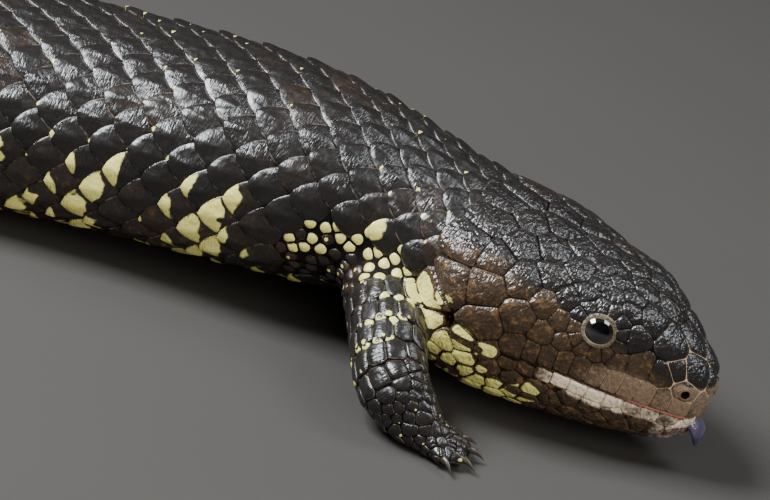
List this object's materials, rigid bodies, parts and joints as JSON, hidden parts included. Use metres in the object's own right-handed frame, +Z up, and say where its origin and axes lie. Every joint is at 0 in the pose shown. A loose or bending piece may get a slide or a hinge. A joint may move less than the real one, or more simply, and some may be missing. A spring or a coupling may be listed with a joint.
{
  "type": "shingleback blue tongued skink model",
  "caption": "Life-size still model of a shingleback skink on four bent legs: broad armoured head turned aside, tongue tip out, pinecone scales and a short stumpy tail.",
  "frame": {"origin": "middle of the model's box, on the floor that it stands on", "axes": "+X toward the head, +Z up, +Y the animal's left"},
  "size_m": [0.326, 0.1228, 0.0501],
  "materials": {
    "hide": "glossy black-brown bony scales with broken greenish yellow bands low on the flanks",
    "jaw_hide": "cream and greenish yellow scales streaked with dark brown",
    "tongue": "wet dark blue-violet",
    "eye": "wet, very dark brown iris round a black pupil",
    "claw": "pale worn horn"
  },
  "bodies": {
    "root": {"head": "hide", "neck": "hide", "torso": "hide", "tail": "hide", "foreleg_right": "hide", "foreleg_left": "hide", "forefoot_right": "hide", "forefoot_left": "hide", "hindleg_right": "hide", "hindleg_left": "hide", "hindfoot_right": "hide", "hindfoot_left": "hide", "lower_jaw": "jaw_hide", "tongue": "tongue", "eye_right": "eye", "eye_left": "eye", "claw_fore_right_1": "claw", "claw_fore_right_2": "claw", "claw_fore_right_3": "claw", "claw_fore_right_4": "claw", "claw_fore_right_5": "claw", "claw_fore_left_1": "claw", "claw_fore_left_2": "claw", "claw_fore_left_3": "claw", "claw_fore_left_4": "claw", "claw_fore_left_5": "claw", "claw_hind_right_1": "claw", "claw_hind_right_2": "claw", "claw_hind_right_3": "claw", "claw_hind_right_4": "claw", "claw_hind_right_5": "claw", "claw_hind_left_1": "claw", "claw_hind_left_2": "claw", "claw_hind_left_3": "claw", "claw_hind_left_4": "claw", "claw_hind_left_5": "claw"}
  },
  "joints": []
}
